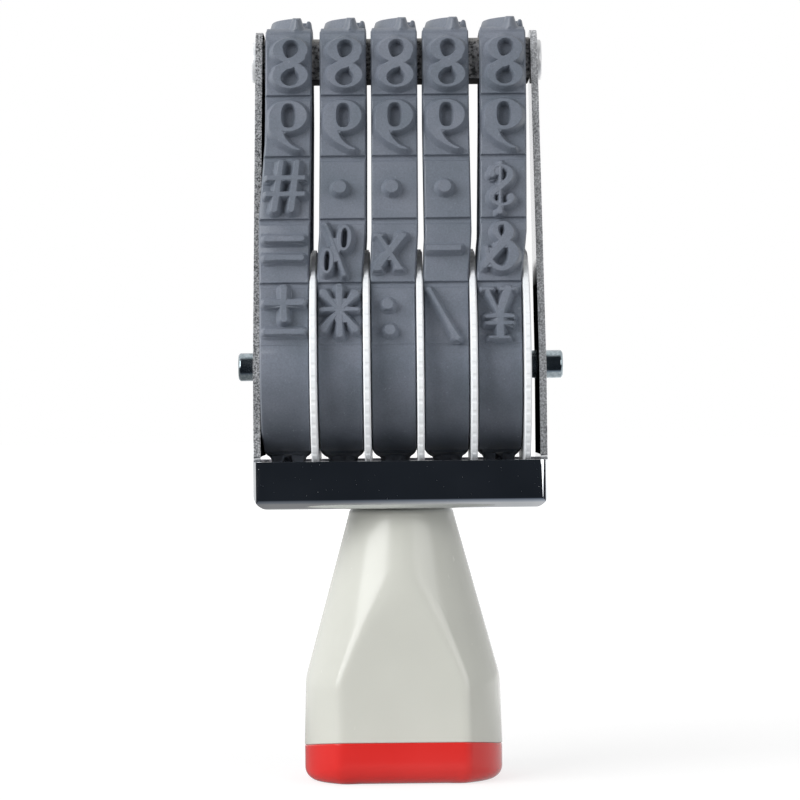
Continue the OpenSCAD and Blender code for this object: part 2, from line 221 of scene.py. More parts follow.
def rubber_material():
    """Moulded grey-blue rubber: cloudy, finely grained, with pale dust, and painted shade that darkens it low
    on the drum.
    """
    material, n = new_material("band_rubber")
    where = n.place()
    cloud = n.noise(where, 160.0, 3.0)
    grain = n.noise(where, 3800.0, 2.0, 0.7)
    dust = n.noise(where, 1500.0, 4.0, 0.75)
    base = n.ramp(cloud, [
        (0.30, srgb(111, 119, 130)), (0.52, srgb(117, 124, 136)), (0.75, srgb(124, 130, 142))])
    mottle = n.ramp(grain, [(0.30, (0.80, 0.80, 0.80)), (0.70, (1.0, 1.0, 1.0))])
    height = n.math("ADD", n.split(where)["Z"], n.spread(cloud, -0.0012, 0.0012))
    # Painted shade: darker towards the bottom of the drum, where the band curves under and the discs and lip
    # hide it from the light
    painted_low_shade = n.levels(height, *LOW_SHADE_Z, 0.50, 0.0)
    dusty = n.levels(dust, 0.63, 0.72, 0.0, 0.30)
    shaded_base = n.mix(painted_low_shade, n.mix(1.0, base, mottle, "MULTIPLY"), srgb(38, 41, 46))
    n.finish({
        "Base Color": n.mix(dusty, shaded_base, srgb(170, 175, 182)), "Roughness": n.spread(cloud, 0.36, 0.46),
        "Specular IOR Level": 0.5,
        "Normal": n.bump(n.math("ADD", grain, n.math("MULTIPLY", dust, 0.6)), 0.35, 0.00005)})
    return material


def gloss_plastic(name, low, high, rough):
    """Shiny moulded plastic: slightly uneven colour, a moulding's faint waviness and faint upright scuffs."""
    material, n = new_material(name)
    where = n.place()
    cloud = n.noise(where, 60.0, 2.0)
    ripple = n.noise(where, 170.0, 2.0)
    upright = n.add("ShaderNodeMapping", {"Vector": where, "Scale": (1.0, 1.0, 0.18)}).outputs["Vector"]
    scuffed = n.levels(n.noise(upright, 900.0, 3.0, 0.7), 0.67, 0.79, 0.0, 0.12)
    height = n.math("ADD", ripple, n.math("MULTIPLY", scuffed, 0.15))
    n.finish({
        "Base Color": n.two_tone(cloud, low, high),
        "Roughness": n.math("ADD", n.spread(ripple, rough, rough + 0.05), scuffed),
        "Specular IOR Level": 0.5, "Normal": n.bump(height, 0.10, 0.0003)})
    return material


def wheel_material():
    """White moulded plastic, slightly uneven in tone and gloss."""
    material, n = new_material("wheel_plastic")
    where = n.place()
    cloud = n.noise(where, 190.0, 3.0)
    n.finish({
        "Base Color": n.two_tone(cloud, (238, 241, 244), (245, 247, 249)),
        "Roughness": n.spread(cloud, 0.34, 0.44), "Specular IOR Level": 0.45,
        "Normal": n.bump(n.noise(where, 1800.0, 2.0), 0.12, 0.00003)})
    return material


def chrome_material():
    """Bright plating over pressed steel: mirror-like, with sparse pits and a faint pressing grain."""
    material, n = new_material("chrome_plate")
    where = n.place()
    cloud = n.noise(where, 90.0, 3.0)
    pits = n.levels(n.noise(where, 3100.0, 2.0, 0.55), 0.735, 0.77, 0.0, 0.6)
    grain = n.noise(where, 420.0, 2.0)
    n.finish({
        "Base Color": n.two_tone(cloud, (205, 208, 212), (224, 226, 229)), "Metallic": 1.0,
        "Roughness": n.math("ADD", n.spread(cloud, 0.035, 0.085), n.math("MULTIPLY", pits, 0.55)),
        "Normal": n.bump(n.math("ADD", grain, n.math("MULTIPLY", pits, 0.5)), 0.03, 0.00008)})
    return material


def arm_inner_shade_material():
    """The arms' inner faces: painted shade, dark and matte, on the left and beside the discs; bright plating on
    the right above.
    """
    material, n = new_material("arm_inner_painted_shade")
    where = n.place()
    cloud = n.noise(where, 260.0, 3.0)
    spot = n.split(where)
    # Painted shade: dark on the left arm's inner face, and on the right one up to where it comes clear of the
    # discs
    on_right = n.levels(spot["X"], -0.001, 0.001, 0.0, 1.0)
    clear = n.math("MULTIPLY", on_right, n.levels(spot["Z"], *SHADE_END_Z, 0.0, 1.0))

    def between(dark, bright):
        return n.levels(clear, 0.0, 1.0, dark, bright)

    n.finish({
        "Base Color": n.mix(clear, n.two_tone(cloud, (12, 13, 15), (22, 23, 26)), srgb(214, 216, 220)),
        "Metallic": between(0.0, 0.9), "Specular IOR Level": between(0.0, 0.5),
        "Roughness": between(0.60, 0.10), "Normal": n.bump(cloud, 0.10, 0.00010)})
    return material


def bar_material():
    """Dull sawn metal with light and dark speckles, paler along its upper edge."""
    material, n = new_material("platen_metal")
    where = n.place()
    grain = n.noise(where, 1900.0, 3.0, 0.65)
    height = n.math("ADD", n.split(where)["Z"], n.spread(grain, -0.0004, 0.0004))
    rim = n.levels(height, *RIM_Z, 0.0, 0.75)
    n.finish({
        "Base Color": n.mix(rim, n.two_tone(grain, (72, 72, 73), (186, 186, 188), 0.38), srgb(176, 174, 170)),
        "Metallic": 0.3, "Roughness": n.spread(n.noise(where, 120.0, 3.0), 0.40, 0.52),
        "Normal": n.bump(grain, 0.9, 0.00005)})
    return material


def metal_material(name, dark, light, rough, speckle, bump, metallic=1.0):
    """Metal with light and dark speckles, by its roughness's range and the scale of the speckles."""
    material, n = new_material(name)
    where = n.place()
    grain = n.noise(where, speckle, 3.0, 0.65)
    n.finish({
        "Base Color": n.two_tone(grain, dark, light, 0.38), "Metallic": metallic,
        "Roughness": n.spread(n.noise(where, 120.0, 3.0), *rough), "Normal": n.bump(grain, bump, 0.00005)})
    return material


RUBBER = rubber_material()
GRIP = gloss_plastic("handle_plastic", (198, 199, 191), (203, 204, 196), 0.20)
RED = gloss_plastic("cap_plastic", (208, 40, 37), (214, 46, 42), 0.16)
WHITE = wheel_material()
CHROME = chrome_material()
SHEARED = metal_material("sheared_steel", (84, 86, 89), (206, 208, 211), (0.38, 0.50), 3600.0, 0.8, 0.5)
EDGE = metal_material("plated_edge", (136, 138, 142), (222, 224, 227), (0.30, 0.42), 3600.0, 0.5, 0.25)
ARM_INNER_SHADE = arm_inner_shade_material()
BAR = bar_material()
# Painted shade: near-black on the platen's underside, which lies in shadow between the bands
BAR_UNDERSIDE_SHADE = metal_material("bar_underside_painted_shade", (9, 9, 10), (16, 16, 17), (0.85, 0.95), 900.0, 0.3, 0.0)
# Painted reflection: a pale lavender-grey paint on the back lip's inner face stands in for what its chrome
# reflects
LIP_PAINTED_REFLECTION = metal_material("back_lip_painted_reflection", (214, 212, 220), (228, 226, 232), (0.40, 0.50), 700.0, 0.1, 0.1)
RIVET = metal_material("rivet_steel", (232, 234, 236), (246, 247, 248), (0.26, 0.36), 1300.0, 0.2, 0.3)
PIN = metal_material("pin_steel", (152, 165, 171), (182, 193, 199), (0.14, 0.20), 1300.0, 0.08)
SCREW = metal_material("screw_steel", (170, 172, 174), (206, 208, 210), (0.22, 0.32), 1300.0, 0.3)

# ---------------------------------------------------------------- the band's path

PLATEN_HI = box_mm("platen")[1]
BAND_LO, BAND_HI = box_mm("number_band_1")
AXLE_Z = frame["joints"][0]["pos_m"][2] / MM
# Radius of the path's bends round the platen, and the band's clearance to the platen
BEND_R = 0.8
PLATEN_CLEAR = 0.05
# Height over the path of the band's blocks, of its carrier and of the line that keeps its length, and the
# characters' height over the blocks
BAND_T = 1.55
CARRIER_T = 1.1
CORD_H = 0.5
TYPE_H = 1.65
# Distance between characters, their number below the printing face on each side, and half the band's width
PITCH = 9.75
FRONT_TYPES = 5
BACK_TYPES = 8
HALF_W = (BAND_HI.x - BAND_LO.x) / 2

# From the middle of the printing face the path has half a flat, a bend, a straight run and half the drum
DRUM_R = AXLE_Z - BAND_LO.z - BAND_T
HALF_FLAT = PLATEN_HI.y + PLATEN_CLEAR - BEND_R
BEND_Z = PLATEN_HI.z + PLATEN_CLEAR - BEND_R
REACH = math.hypot(HALF_FLAT, BEND_Z - AXLE_Z)
RUN_ANGLE = math.pi / 2 + math.atan2(HALF_FLAT, BEND_Z - AXLE_Z) + math.acos((DRUM_R - BEND_R) / REACH)
RUN_LEN = math.sqrt(REACH ** 2 - (DRUM_R - BEND_R) ** 2)
BEND_LEN = (BEND_R + CORD_H) * (RUN_ANGLE - math.pi / 2)
WRAP_LEN = (DRUM_R + CORD_H) * (math.pi * 1.5 - RUN_ANGLE)
HALF_LEN = HALF_FLAT + BEND_LEN + RUN_LEN + WRAP_LEN
LOOP_LEN = 2 * HALF_LEN


def path_points(s, h):
    """Arrays of Y and Z at distance s from the middle of the printing face and h outside the path."""
    s = (np.asarray(s, float) + HALF_LEN) % LOOP_LEN - HALF_LEN
    h = np.asarray(h, float)
    t = np.abs(s)
    side = np.where(s < 0, -1.0, 1.0)
    on_bend = np.clip(t - HALF_FLAT, 0, BEND_LEN)
    angle = math.pi / 2 + on_bend / (BEND_R + CORD_H)
    on_run = np.clip(t - HALF_FLAT - BEND_LEN, 0, RUN_LEN)
    y = -np.minimum(t, HALF_FLAT) + (BEND_R + h) * np.cos(angle) - on_run * math.sin(RUN_ANGLE)
    z = BEND_Z + (BEND_R + h) * np.sin(angle) + on_run * math.cos(RUN_ANGLE)
    on_drum = t - HALF_FLAT - BEND_LEN - RUN_LEN
    turn = RUN_ANGLE + on_drum / (DRUM_R + CORD_H)
    y = np.where(on_drum > 0, (DRUM_R + h) * np.cos(turn), y)
    z = np.where(on_drum > 0, AXLE_Z + (DRUM_R + h) * np.sin(turn), z)
    return side * y, z


# ---------------------------------------------------------------- characters as distance fields

# A character is an array of distances to its outline, negative inside, over x across the band and v up it
GRID = 0.06
GRID_X = np.arange(-3.9, 3.9 + GRID / 2, GRID)
GRID_V = np.arange(-5.4, 5.4 + GRID / 2, GRID)
FIELD_X, FIELD_V = np.meshgrid(GRID_X, GRID_V)
FAR = 99.0
# How much steeper the walls of a character's holes are than its outer ones
HOLE_STEEP = 1.7
# Places along a stroke between two of its points
STROKE_STEPS = 24


def sweep(points):
    """Stroke along a smooth curve through (x, v, width) points."""
    pts = np.array(points, float)
    ends = np.vstack([2 * pts[0] - pts[1], pts, 2 * pts[-1] - pts[-2]])
    samples = []
    for k in range(len(pts) - 1):
        p0, p1, p2, p3 = ends[k:k + 4]
        for t in np.linspace(0, 1, STROKE_STEPS, endpoint=False):
            samples.append(0.5 * (2 * p1 + (p2 - p0) * t + (2 * p0 - 5 * p1 + 4 * p2 - p3) * t ** 2
                                  + (3 * p1 - p0 - 3 * p2 + p3) * t ** 3))
    samples.append(pts[-1])
    field = np.full(FIELD_X.shape, FAR)
    for x, v, w in samples:
        field = np.minimum(field, np.hypot(FIELD_X - x, FIELD_V - v) - w / 2)
    return field


def oval(x, v, rx, rv, power=2.0):
    """Ellipse, squarer for a higher power."""
    q = (np.abs((FIELD_X - x) / rx) ** power + np.abs((FIELD_V - v) / rv) ** power) ** (1 / power)
    gx = np.sign(FIELD_X - x) * np.abs((FIELD_X - x) / rx) ** (power - 1) / rx
    gv = np.sign(FIELD_V - v) * np.abs((FIELD_V - v) / rv) ** (power - 1) / rv
    slope = np.hypot(gx, gv) * np.maximum(q, 1e-6) ** (1 - power)
    return (q - 1) / np.maximum(slope, 1 / max(rx, rv) * 0.5)


def slab(x0, v0, x1, v1, corner=0.05):
    """Upright rectangle with slightly rounded corners."""
    dx = np.abs(FIELD_X - (x0 + x1) / 2) - abs(x1 - x0) / 2 + corner
    dv = np.abs(FIELD_V - (v0 + v1) / 2) - abs(v1 - v0) / 2 + corner
    return np.hypot(np.maximum(dx, 0), np.maximum(dv, 0)) + np.minimum(np.maximum(dx, dv), 0) - corner


def join(*fields):
    """One field that holds all the shapes."""
    return np.minimum.reduce(fields)


def cut(field, *holes):
    """The field without the holes."""
    return np.maximum(field, -HOLE_STEEP * np.minimum.reduce(holes))


def ring(x, v, rx, rv, hole_x, hole_v, power=2.0):
    """Oval with a hole, squarer for a higher power."""
    return cut(oval(x, v, rx, rv), oval(x, v, hole_x, hole_v, power))


def turned(field):
    """The same character upside down."""
    return field[::-1, ::-1]


def glyph_8():
    body = join(
        oval(0.31, 1.95, 2.6, 1.97), oval(0.31, -2.04, 2.64, 2.04),
        sweep([(1.9, 0.82, 1.3), (0.3, -0.2, 1.5), (-1.4, -1.13, 1.3)]))
    upper = join(oval(0.42, 2.38, 1.24, 1.2),
                 sweep([(0.42, 2.33, 2.45), (0.25, 1.8, 1.9), (0.0, 1.15, 0.85), (-0.13, 0.8, 0.12)]))
    lower = join(oval(0.29, -2.43, 1.41, 1.27),
                 sweep([(0.35, -2.08, 2.2), (0.68, -1.4, 1.0), (0.84, -0.92, 0.34)]))
    return cut(body, upper, lower)


def glyph_9():
    body = join(
        oval(0.0, 1.25, 2.81, 2.47),
        sweep([(-1.9, 0.82, 1.75), (-1.79, -0.68, 1.84), (-0.93, -2.28, 1.1), (0.2, -3.31, 0.56),
               (0.97, -3.8, 0.47), (1.75, -4.05, 0.25)]))
    return cut(body, oval(0.08, 1.32, 1.1, 1.92, 2.6))


def glyph_7():
    return join(
        sweep([(1.2, -3.75, 1.25), (1.0, -2.8, 1.5), (0.15, -1.5, 2.1), (-0.85, 0.2, 2.3), (-1.6, 1.9, 1.9),
               (-2.1, 3.0, 1.3)]),
        slab(-2.1, 2.6, 2.7, 3.75, 0.1),
        sweep([(2.5, 3.3, 0.6), (2.85, 2.2, 0.6), (2.9, 1.2, 0.5), (2.85, 0.5, 0.4)]))


def glyph_5():
    return join(
        sweep([(1.75, 3.4, 0.5), (1.8, 0.6, 0.45)]),
        sweep([(1.6, 3.15, 0.9), (0.2, 3.1, 1.2), (-1.3, 3.3, 1.0), (-1.9, 3.75, 0.3)]),
        sweep([(1.8, 0.5, 0.45), (0.7, 1.0, 0.6), (-0.7, 0.75, 1.2), (-1.7, -0.8, 1.8), (-1.4, -2.5, 1.5),
               (-0.1, -3.45, 0.6), (1.2, -3.2, 0.6)]),
        oval(1.65, -2.3, 0.75, 0.75))


def glyph_4():
    return join(
        slab(-1.75, -3.7, -0.15, 3.7), slab(-2.6, -1.75, 2.6, -1.15), slab(-2.4, -3.75, 0.6, -3.4),
        sweep([(-0.6, 3.5, 0.45), (2.35, -1.4, 0.5)]))


def glyph_3():
    return join(
        sweep([(1.3, 3.1, 0.6), (0.1, 3.5, 0.5), (-1.2, 2.9, 1.2), (-1.4, 1.8, 1.4), (-0.8, 0.8, 0.9),
               (0.4, 0.35, 0.4)]),
        sweep([(0.4, 0.35, 0.4), (-0.9, 0.0, 1.0), (-1.8, -1.3, 1.7), (-1.5, -2.6, 1.4), (-0.2, -3.45, 0.6),
               (1.2, -3.2, 0.6)]),
        oval(1.5, 2.3, 0.7, 0.7), oval(1.65, -2.3, 0.75, 0.75))


def glyph_2():
    return join(
        sweep([(1.3, 3.1, 0.6), (0.1, 3.5, 0.5), (-1.2, 2.9, 1.3), (-1.6, 1.7, 1.6), (-1.0, 0.2, 1.3),
               (0.5, -1.4, 0.6), (1.9, -2.7, 0.5)]),
        sweep([(1.9, -2.9, 0.9), (0.6, -2.95, 1.2), (-1.0, -3.2, 1.0), (-2.0, -2.9, 0.8),
               (-2.35, -2.1, 0.4)]),
        oval(1.55, 2.25, 0.75, 0.75))


def glyph_1():
    return join(
        slab(-0.85, -3.6, 0.85, 3.6), slab(-2.0, -3.75, 2.0, -3.35),
        sweep([(0.6, 3.35, 0.5), (1.95, 2.45, 0.35)]))


def glyph_0():
    return ring(0, 0, 2.65, 3.75, 1.0, 3.25, 2.3)


def glyph_ring():
    return ring(0.1, 0, 1.8, 2.9, 0.7, 1.7)


def glyph_h():
    return join(slab(-2.0, -2.9, -0.9, 2.9), slab(0.9, -2.9, 2.0, 2.9), slab(-1.5, -0.4, 1.5, 0.4))


def glyph_dot():
    return oval(-0.4, -0.25, 0.97, 0.97)


def glyph_colon():
    return join(oval(-0.74, 0.9, 0.78, 0.78), oval(-0.48, -3.1, 0.78, 0.78))


def glyph_minus():
    return slab(-3.1, -0.6, 2.05, 0.2, 0.12)


def glyph_slash():
    return join(
        sweep([(-2.5, 3.2, 0.35), (0.1, -1.9, 0.55), (1.45, -4.4, 0.8)]),
        slab(0.9, -4.6, 2.0, -4.3, 0.1))


def glyph_percent():
    return join(
        sweep([(-2.5, 3.75, 0.40), (0.75, -4.2, 0.44)]),
        ring(0.38, 1.5, 1.05, 2.0, 0.52, 1.55, 2.6), ring(-2.02, -2.06, 0.97, 2.0, 0.45, 1.55, 2.6))


def glyph_times():
    return join(
        sweep([(1.05, 1.75, 1.0), (-0.7, -0.75, 0.95), (-2.45, -3.15, 1.0)]),
        sweep([(-2.35, 1.8, 0.6), (-0.7, -0.75, 0.6), (0.85, -3.15, 0.75)]),
        slab(0.4, 1.65, 1.75, 2.05, 0.1), slab(-2.95, -3.55, -1.7, -3.2, 0.1),
        slab(-2.9, 1.7, -1.7, 2.05, 0.1), slab(0.2, -3.55, 1.5, -3.2, 0.1))


def glyph_dollar():
    return join(
        sweep([(-0.42, 3.3, 0.5), (-0.45, 2.65, 0.3), (-0.5, -3.15, 0.32), (-0.55, -4.35, 0.75)]),
        sweep([(-1.75, 1.85, 0.6), (-1.35, 2.6, 0.42), (-0.35, 2.9, 0.36), (0.95, 2.1, 0.7),
               (0.85, 0.8, 0.8), (-0.48, -0.5, 0.8), (-1.65, -1.5, 0.72), (-1.65, -2.6, 0.55),
               (-0.6, -3.25, 0.4), (0.6, -3.15, 0.4), (1.25, -2.55, 0.55)]),
        oval(-1.72, 1.55, 0.45, 0.5), oval(1.12, -2.15, 0.48, 0.55))


def glyph_yen():
    return join(
        sweep([(-1.95, 3.0, 0.45), (-0.3, -0.6, 0.5)]), sweep([(1.25, 3.0, 1.05), (0.0, -0.5, 1.05)]),
        slab(-0.5, -4.35, 0.5, -0.3), slab(-2.85, 2.9, -0.95, 3.25, 0.08), slab(0.1, 2.88, 2.4, 3.23, 0.08),
        slab(-1.75, -4.6, 1.35, -4.25, 0.08), slab(-2.3, -1.4, 2.05, -0.95, 0.15),
        slab(-2.3, -2.45, 2.05, -2.0, 0.15))


def glyph_hash():
    return join(
        sweep([(1.5, 3.7, 0.75), (0.9, -3.7, 0.85)]),
        sweep([(-0.8, 3.7, 0.75), (-1.4, -3.7, 0.85)]),
        slab(-2.7, 0.95, 2.7, 1.6, 0.12), slab(-2.7, -1.6, 2.7, -0.95, 0.12))


def glyph_equals():
    return join(
        sweep([(-2.3, 1.5, 0.9), (0.0, 1.45, 0.75), (2.3, 1.5, 0.9)]),
        sweep([(-2.3, -1.5, 0.9), (0.0, -1.45, 0.75), (2.3, -1.5, 0.9)]))


def glyph_plus_minus():
    return join(
        sweep([(0, 3.6, 0.95), (0, 1.3, 0.75), (0, -1.3, 0.95)]),
        sweep([(-2.4, 1.3, 0.9), (0, 1.2, 0.7), (2.4, 1.3, 0.9)]),
        sweep([(-2.4, -3.2, 0.9), (0, -3.25, 0.75), (2.4, -3.2, 0.9)]))


def glyph_star():
    arms = [sweep([(0, 3.7, 0.95), (0, 0, 0.7), (0, -3.7, 0.95)])]
    for x, v, w in ((2.35, 2.6, 1.05), (-2.35, 2.7, 1.1), (2.3, -2.9, 0.95), (-2.5, -2.8, 1.15),
                    (2.7, 0.1, 0.5), (-2.7, 0.1, 0.6)):
        arms.append(sweep([(0, 0, 0.45), (x * 0.55, v * 0.5, w * 0.62), (x, v, w)]))
    return join(*arms)


def glyph_and():
    return sweep([
        (-2.4, -3.0, 0.8), (-1.3, -1.3, 1.0), (0.3, 0.9, 1.35), (0.9, 2.2, 1.25), (0.3, 3.5, 0.6),
        (-0.8, 3.4, 0.5), (-1.2, 2.4, 0.8), (-0.4, 1.2, 0.6), (1.3, 0.1, 1.0), (1.9, -1.6, 1.4),
        (1.0, -3.3, 0.8), (-0.5, -3.3, 0.7), (-1.8, -1.8, 0.5), (-2.3, -0.2, 0.45)])


GLYPHS = {
    "0": glyph_0, "1": glyph_1, "2": glyph_2, "3": glyph_3, "4": glyph_4, "5": glyph_5, "7": glyph_7,
    "8": glyph_8, "9": glyph_9, "ring": glyph_ring, "h": glyph_h, "dot": glyph_dot, "colon": glyph_colon,
    "minus": glyph_minus, "slash": glyph_slash, "percent": glyph_percent, "times": glyph_times,
    "dollar": glyph_dollar, "yen": glyph_yen, "hash": glyph_hash, "equals": glyph_equals,
    "plus_minus": glyph_plus_minus, "star": glyph_star, "and": glyph_and,
}

# ---------------------------------------------------------------- a cell of the band as a relief

# Height of a character over its block by distance outside its face's outline
PROFILE_D = np.array([-0.05, 0.04, 0.38, 0.52, 0.66])
PROFILE_H = TYPE_H - 0.03 - np.array([0.0, 0.09, 1.19, 1.49, 1.62])
# Block's height across the band, from its side inwards
BEVEL = (np.array([0.0, 0.05, 0.10, 0.20, 0.28]),
         np.array([CARRIER_T - 0.12, CARRIER_T - 0.02, CARRIER_T + 0.02, BAND_T - 0.05, BAND_T]))
# The lowest block on the drum has its corners well rounded off
FOOT_BEVEL = (np.array([0.0, 0.25, 0.55, 0.95, 1.5]), np.array([0.35, 0.80, 1.12, 1.38, BAND_T]))
# Block's height along the band, by distance from the boundary between two cells
GROOVE_S = np.array([-0.34, -0.27, -0.15, 0.0, 0.08, 0.58, 0.66, 0.78])
GROOVE_H = np.array([BAND_T, BAND_T - 0.05, CARRIER_T - 0.06, CARRIER_T - 0.08, CARRIER_T + 0.08,
                     CARRIER_T + 0.31, CARRIER_T + 0.29, BAND_T])
# About the length that the grooves at a block's two ends take, and the step between rows of points elsewhere
GROOVES_LEN = 1.2
ROW_STEP = 0.6
# Tolerance of a character's outlines, how near they may come to the block's sides and ends, and the fewest
# points that one has
TOLERANCE = 0.010
MARGIN = 0.02
LEAST_POINTS = 6
# Points nearer than this count as one
MERGE = 1e-4


def contours(field, level):
    """Closed outlines where the field crosses the level, as arrays of points."""
    above = field > level
    mixed = ((above[:-1, :-1] ^ above[1:, 1:]) | (above[:-1, 1:] ^ above[1:, :-1])
             | (above[:-1, :-1] ^ above[:-1, 1:]))
    links = {}
    points = {}

    def crossing(r0, c0, r1, c1):
        key = (r0, c0, r1, c1)
        if key not in points:
            a, b = field[r0, c0], field[r1, c1]
            t = (level - a) / (b - a)
            points[key] = (GRID_X[c0] + (GRID_X[c1] - GRID_X[c0]) * t,
                           GRID_V[r0] + (GRID_V[r1] - GRID_V[r0]) * t)
        return key

    for r, c in zip(*np.nonzero(mixed)):
        # Each side of the grid's cell, from its lower to its higher end
        sides = [(r, c, r, c + 1), (r, c + 1, r + 1, c + 1), (r + 1, c, r + 1, c + 1), (r, c, r + 1, c)]
        crossed = [crossing(*side) for side in sides if above[side[0], side[1]] != above[side[2], side[3]]]
        for a, b in zip(crossed[::2], crossed[1::2]):
            links.setdefault(a, []).append(b)
            links.setdefault(b, []).append(a)
    loops = []
    while links:
        start = next(iter(links))
        loop = [start]
        here = start
        while here in links:
            step = links[here].pop()
            if not links[here]:
                del links[here]
            if here in links.get(step, ()):
                links[step].remove(here)
                if not links[step]:
                    del links[step]
            if step == start:
                break
            loop.append(step)
            here = step
        if len(loop) >= LEAST_POINTS:
            loops.append(np.array([points[k] for k in loop]))
    return loops


def simplified(loop):
    """Closed outline with fewer points, none of the left out ones further off than the tolerance."""
    far = int(np.argmax(np.hypot(*(loop - loop[0]).T)))

    def thin(pts):
        a, b = pts[0], pts[-1]
        d = b - a
        length = max(np.hypot(*d), 1e-9)
        off = np.abs((pts[:, 0] - a[0]) * d[1] - (pts[:, 1] - a[1]) * d[0]) / length
        k = int(np.argmax(off))
        if off[k] <= TOLERANCE:
            return [a]
        return thin(pts[:k + 1]) + thin(pts[k:])

    ends = np.vstack([loop[far:], loop[:1]])
    return np.array(thin(loop[:far + 1]) + thin(ends))


def field_at(field, x, v):
    """Value of the field between its grid points."""
    fx = np.clip((x - GRID_X[0]) / GRID, 0, len(GRID_X) - 1.001)
    fv = np.clip((v - GRID_V[0]) / GRID, 0, len(GRID_V) - 1.001)
    c, r = fx.astype(int), fv.astype(int)
    tx, tv = fx - c, fv - r
    return ((field[r, c] * (1 - tx) + field[r, c + 1] * tx) * (1 - tv)
            + (field[r + 1, c] * (1 - tx) + field[r + 1, c + 1] * tx) * tv)


def shifted(field, dx, dv):
    """The field moved by dx and dv."""
    return field_at(field, FIELD_X - dx, FIELD_V - dv)


def block_height(x, s, first, last, depths, bevel):
    """Height of a block at x across and s along its cell, with the depths of the grooves at its two ends."""
    across = np.interp(HALF_W - np.abs(x), *bevel)
    top = (BAND_T - np.interp(s - first, GROOVE_S, GROOVE_H)) * depths[0]
    foot = (BAND_T - np.interp(s - last, GROOVE_S, GROOVE_H)) * depths[1]
    along = BAND_T - np.where(s - first < (last - first) / 2, top, foot)
    return np.minimum(across, along)


def cell_patch(field, first, last, depths, bevel=BEVEL):
    """Relief of a cell from first to last, with its character's middle at 0: x, s, height and triangles."""
    points, edges = [], []

    def add_line(line, closed):
        base = len(points)
        points.extend((float(a), float(b)) for a, b in line)
        count = len(line)
        edges.extend((base + k, base + (k + 1) % count) for k in range(count if closed else count - 1))

    below, above = GROOVE_S[GROOVE_S > 0], GROOVE_S[GROOVE_S < 0]
    rows = max(2, int(round((last - first - GROOVES_LEN) / ROW_STEP)) + 1)
    inner = np.linspace(first + below[-1], last + above[0], rows)[1:-1]
    for s in sorted([first, *(first + below), *inner, *(last + above), last]):
        add_line([(x, s) for x in (-HALF_W, HALF_W)], False)
    for x in np.concatenate([-HALF_W + bevel[0], [0.0], HALF_W - bevel[0][::-1]]):
        add_line([(x, first), (x, last)], False)
    if field is not None:
        for level in PROFILE_D:
            for loop in contours(field, level):
                loop[:, 0] = np.clip(loop[:, 0], -HALF_W + MARGIN, HALF_W - MARGIN)
                loop = simplified(loop)
                loop[:, 1] = np.clip(loop[:, 1], MARGIN - last, -MARGIN - first)
                add_line([(x, -v) for x, v in loop], True)
    out = delaunay_2d_cdt([Vector(p) for p in points], edges, [], 0, MERGE, False)
    x, s = np.array([(v.x, v.y) for v in out[0]]).T
    tris = np.array([f for f in out[2] if len(f) == 3])
    h = block_height(x, s, first, last, depths, bevel)
    if field is not None:
        h = h + np.interp(field_at(field, x, -s), PROFILE_D, PROFILE_H)
    return x, s, h, tris


# ---------------------------------------------------------------- the five bands

# Cells are counted from the printing face, positive down the front. Cell k holds the numeral 7 + k on every
# lane, or the signs that stand here.
CELLS = range(-BACK_TYPES, FRONT_TYPES + 1)
SIGNS = {
    -8: ["h", "ring", "ring", "ring", "h"],
    3: ["hash", "dot", "dot", "dot", "dollar"],
    4: ["equals", "percent", "times", "minus", "and"],
    5: ["plus_minus", "star", "colon", "slash", "yen"],
}
# How far a numeral on the back stands off the middle of its cell, to the right and up
NUMERAL_SHIFT = (0.3, 0.1)
# Where cells meet is a little uneven on the front: distance by which each boundary lies below its even place
BOUNDARY_SHIFT = {1: 0.275, 2: 0.16, 3: 0.08, 4: 0.23, 5: 0.47, 6: 0.40}
# The groove is shallow at the printing edge and beside the long bare block: share of its depth
SHALLOW = {1: 0.35, 6: 0.2}
# Grid on which the seams between cells are welded, and the angle above which an edge stays sharp
WELD = 0.002
SHARP = math.radians(29)
# Height above which a band is clear of the discs, how much wider it gets and over what height
FREE_Z = 78.0
FREE_WIDER = 0.036
FREE_FADE = 5.0
# How far each free band strays to the right at four heights
SWAY_Z = [FREE_Z, 85.0, 103.0, 116.0]
SWAY = [[0, 0.08, 0.44, 0.52], [0, 0.50, 0.72, 0.76], [0, 0.38, 0.48, 0.52], [0, 0.42, 0.28, 0.34],
        [0, 0.72, 0.98, 1.06]]
# No disc stands to the left of the first band, so its left side has spread towards the arm. The spread ends
# between these heights.
SPREAD = 0.7
SPREAD_Z = [88.0, 99.0]


def boundary(k):
    """Where cell k begins."""
    return (k - 0.5) * PITCH + BOUNDARY_SHIFT.get(k, 0.0)


LOOP_START = boundary(-BACK_TYPES)
BARE_START = boundary(FRONT_TYPES + 1)
BARE_LEN = LOOP_LEN + LOOP_START - BARE_START

patches = {}


def patch_for(name, k):
    """Relief of cell k with the named character, made once and kept."""
    if (name, k) not in patches:
        field = turned(glyph_9()) if name == "6" else GLYPHS[name]()
        if name.isdigit() and name not in "789":
            field = shifted(field, *NUMERAL_SHIFT)
        patches[name, k] = cell_patch(
            field, boundary(k) - k * PITCH, boundary(k + 1) - k * PITCH,
            (SHALLOW.get(k, 1.0), SHALLOW.get(k + 1, 1.0)), FOOT_BEVEL if k == -BACK_TYPES else BEVEL)
    return patches[name, k]


def bare_patch():
    """Relief of the long bare block on the drum, made once and kept."""
    if "bare" not in patches:
        patches["bare"] = cell_patch(None, -BARE_LEN / 2, BARE_LEN / 2, (SHALLOW[FRONT_TYPES + 1], 1.0))
    return patches["bare"]


